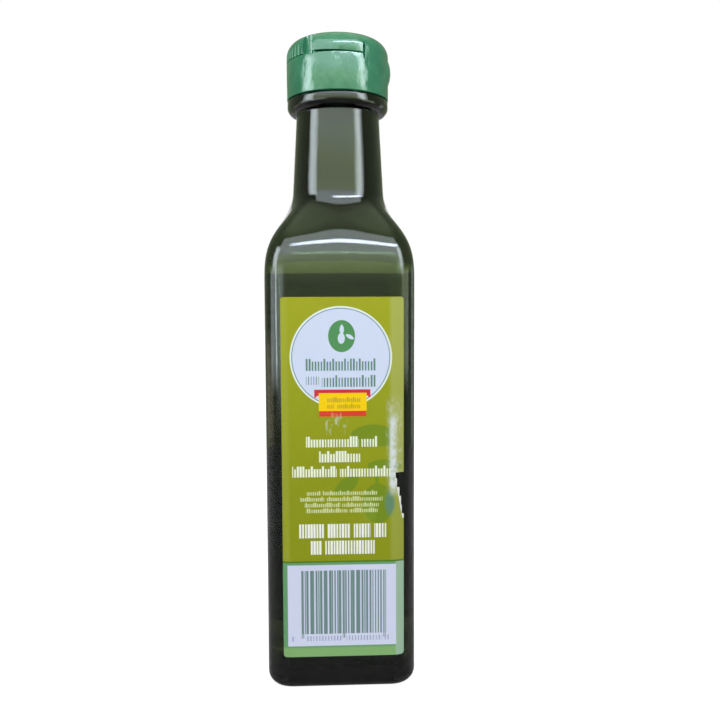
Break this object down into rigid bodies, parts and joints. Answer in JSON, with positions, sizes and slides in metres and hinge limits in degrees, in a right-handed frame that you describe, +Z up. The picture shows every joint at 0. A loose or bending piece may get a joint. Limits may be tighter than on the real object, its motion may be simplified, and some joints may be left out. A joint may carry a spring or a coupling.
{
  "type": "olive oil bottle",
  "caption": "Square dark green glass bottle of olive oil with round neck, shut green flip-top closure, olive coloured front label and back label",
  "frame": {"origin": "middle of the base, on the surface that the bottle stands on", "axes": "+Z up along the bottle, -Y out of the front label, -X towards the closure's thumb tab, +X towards its hinge"},
  "size_m": [0.048, 0.0482, 0.2099],
  "materials": {
    "glass": "smooth dark green glass",
    "oil": "clear golden green liquid",
    "cap_plastic": "satin moulded plastic",
    "label_paper": "coated printed paper",
    "label_back_paper": "coated printed paper"
  },
  "bodies": {
    "root": {"bottle_glass": "glass", "oil": "oil", "cap": "cap_plastic", "label_front": "label_paper", "label_back": "label_back_paper"}
  },
  "joints": []
}
